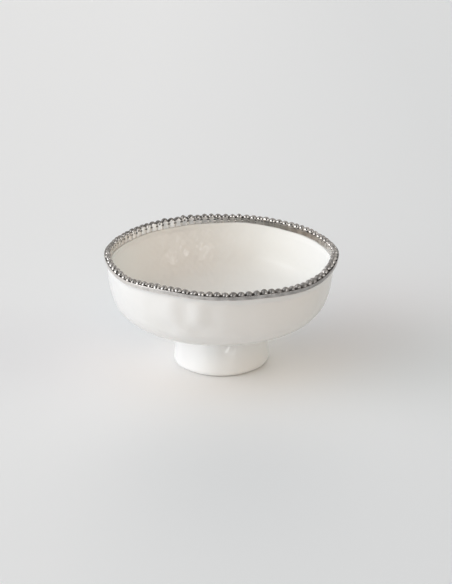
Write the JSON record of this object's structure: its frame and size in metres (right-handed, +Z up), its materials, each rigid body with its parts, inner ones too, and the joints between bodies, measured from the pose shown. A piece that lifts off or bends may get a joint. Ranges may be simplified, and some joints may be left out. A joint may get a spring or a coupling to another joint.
{
  "type": "footed compote bowl",
  "caption": "Wide round ceramic bowl on a low hollow foot, with a beaded metal rim, for fruit or serving.",
  "frame": {"origin": "centre of the circle that the foot stands on", "axes": "+Z up along the bowl's axis"},
  "size_m": [0.25, 0.25, 0.125],
  "materials": {
    "glaze": "glossy warm white glaze",
    "rim_metal": "bright, slightly dulled silver-coloured plating",
    "cement": "matt bedding"
  },
  "bodies": {
    "root": {"bowl_body": "glaze", "foot_ring": "glaze", "foot_outer_coil": "glaze", "foot_inner_coil": "glaze", "rim_outer_band": "rim_metal", "rim_inner_band": "rim_metal", "rim_crest_strip": "rim_metal", "rim_beads": "rim_metal", "rim_cement": "cement"}
  },
  "joints": []
}
